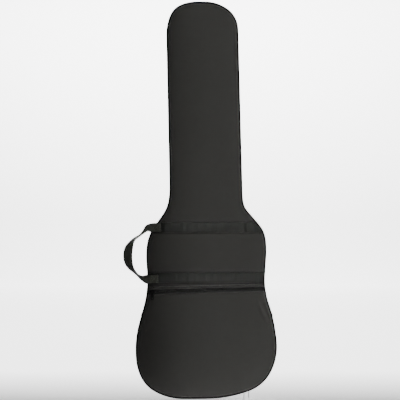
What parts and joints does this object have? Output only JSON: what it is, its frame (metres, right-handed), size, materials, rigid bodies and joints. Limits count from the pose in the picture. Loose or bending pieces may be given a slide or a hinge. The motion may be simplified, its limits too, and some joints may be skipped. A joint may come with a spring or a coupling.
{
  "type": "padded gig bag",
  "caption": "Padded soft case for an electric guitar with a zip round the edge, a zipped front pocket, a side carry handle and shoulder straps.",
  "frame": {"origin": "centre of the back panel's outer face where it rests on the wearer, 400 mm above the bag's bottom edge", "axes": "+Z along the neck towards its tip, -Y out of the pocket side, +X to the right seen from the pocket side"},
  "size_m": [0.4075, 0.1451, 1.0538],
  "materials": {
    "shell_fabric": "woven polyester, matt",
    "foam": "closed foam sheet",
    "lining_fabric": "smooth nylon lining",
    "binding_tape": "ribbed binding tape",
    "piping": "satin piping",
    "zip_tape": "woven zip tape",
    "zip_coil": "nylon coil",
    "webbing": "ribbed polypropylene webbing",
    "strap_pad_fabric": "woven polyester over foam",
    "black_slider_metal": "black enamel",
    "grey_slider_metal": "dull nickel plate",
    "buckle_plastic": "moulded acetal"
  },
  "bodies": {
    "back_half": {"back_shell": "shell_fabric", "back_foam": "foam", "back_lining": "lining_fabric", "back_gusset_shell": "shell_fabric", "back_gusset_foam": "foam", "back_gusset_lining": "lining_fabric", "back_piping": "piping", "back_seam_binding": "binding_tape", "main_zip_back_tape": "zip_tape", "main_zip_back_coil": "zip_coil", "main_zip_end_stops": "zip_coil", "spine_gusset_back": "shell_fabric", "strap_anchor_patch": "webbing", "strap_left_top_tab": "webbing", "strap_left_side_tab": "webbing", "strap_right_top_tab": "webbing", "strap_right_side_tab": "webbing"},
    "front_half": {"front_shell": "shell_fabric", "front_foam": "foam", "front_lining": "lining_fabric", "front_gusset_shell": "shell_fabric", "front_gusset_foam": "foam", "front_gusset_lining": "lining_fabric", "front_piping": "piping", "front_seam_binding": "binding_tape", "main_zip_front_tape": "zip_tape", "main_zip_front_coil": "zip_coil", "spine_gusset_front": "shell_fabric", "pocket_panel": "shell_fabric", "pocket_zip_welt": "binding_tape", "pocket_zip_upper_tape": "zip_tape", "pocket_zip_lower_tape": "zip_tape", "pocket_zip_upper_coil": "zip_coil", "pocket_zip_lower_coil": "zip_coil", "pocket_zip_stops": "zip_coil", "upper_band": "webbing", "lower_band": "webbing"},
    "carry_handle": {"handle_webbing": "webbing"},
    "pocket_slider": {"pocket_zip_slider": "black_slider_metal"},
    "pocket_pull": {"pocket_zip_pull": "black_slider_metal"},
    "main_slider_left": {"main_zip_slider_left": "grey_slider_metal"},
    "main_pull_left": {"main_zip_pull_left": "grey_slider_metal"},
    "main_slider_right": {"main_zip_slider_right": "grey_slider_metal"},
    "main_pull_right": {"main_zip_pull_right": "grey_slider_metal"},
    "strap_left": {"strap_left_pad": "strap_pad_fabric", "strap_left_neck": "webbing", "strap_left_webbing": "webbing"},
    "adjuster_left": {"strap_left_adjuster": "buckle_plastic"},
    "strap_right": {"strap_right_pad": "strap_pad_fabric", "strap_right_neck": "webbing", "strap_right_webbing": "webbing"},
    "adjuster_right": {"strap_right_adjuster": "buckle_plastic"}
  },
  "joints": [
    {"name": "front_half_open", "type": "hinge", "parent": "back_half", "child": "front_half", "pos_m": [-0.18743, -0.03, -0.24274], "axis": [-0.0979, 0, -0.9952], "range_deg": [0, 175]},
    {"name": "handle_swing", "type": "hinge", "parent": "front_half", "child": "carry_handle", "pos_m": [-0.15549, -0.0731, -0.084], "axis": [0.1205, 0, 0.9927], "range_deg": [0, 150]},
    {"name": "pocket_zip_travel", "type": "slide", "parent": "front_half", "child": "pocket_slider", "axis": [0.9996, 0, 0.0279], "range_m": [0, 0.28417]},
    {"name": "pocket_pull_swing", "type": "hinge", "parent": "pocket_slider", "child": "pocket_pull", "pos_m": [-0.14209, -0.08415, -0.11597], "axis": [-1, 0, 0], "range_deg": [0, 170]},
    {"name": "main_zip_travel_left", "type": "hinge", "parent": "back_half", "child": "main_slider_left", "pos_m": [-0.00191, -0.03, -0.06458], "axis": [0, 1, 0], "range_deg": [0, 15.92]},
    {"name": "main_pull_swing_left", "type": "hinge", "parent": "main_slider_left", "child": "main_pull_left", "pos_m": [0.10028, -0.03, -0.38281], "axis": [0, 1, 0], "range_deg": [-30, 65]},
    {"name": "main_zip_travel_right", "type": "hinge", "parent": "back_half", "child": "main_slider_right", "pos_m": [0.07715, -0.03, -0.27959], "axis": [0, -1, 0], "range_deg": [0, 43.03]},
    {"name": "main_pull_swing_right", "type": "hinge", "parent": "main_slider_right", "child": "main_pull_right", "pos_m": [0.11274, -0.03, -0.37867], "axis": [0, 1, 0], "range_deg": [-75, 30]},
    {"name": "strap_swing_left", "type": "hinge", "parent": "back_half", "child": "strap_left", "pos_m": [-0.042, 0.007, 0.175], "axis": [-0.3157, 0, -0.9489], "range_deg": [-20, 20]},
    {"name": "strap_adjust_left", "type": "slide", "parent": "strap_left", "child": "adjuster_left", "axis": [-0.3059, -0.2473, -0.9194], "range_m": [-0.03, 0.03]},
    {"name": "strap_swing_right", "type": "hinge", "parent": "back_half", "child": "strap_right", "pos_m": [0.042, 0.007, 0.175], "axis": [0.3245, 0, -0.9459], "range_deg": [-20, 20]},
    {"name": "strap_adjust_right", "type": "slide", "parent": "strap_right", "child": "adjuster_right", "axis": [0.3145, -0.2455, -0.9169], "range_m": [-0.03, 0.03]}
  ]
}
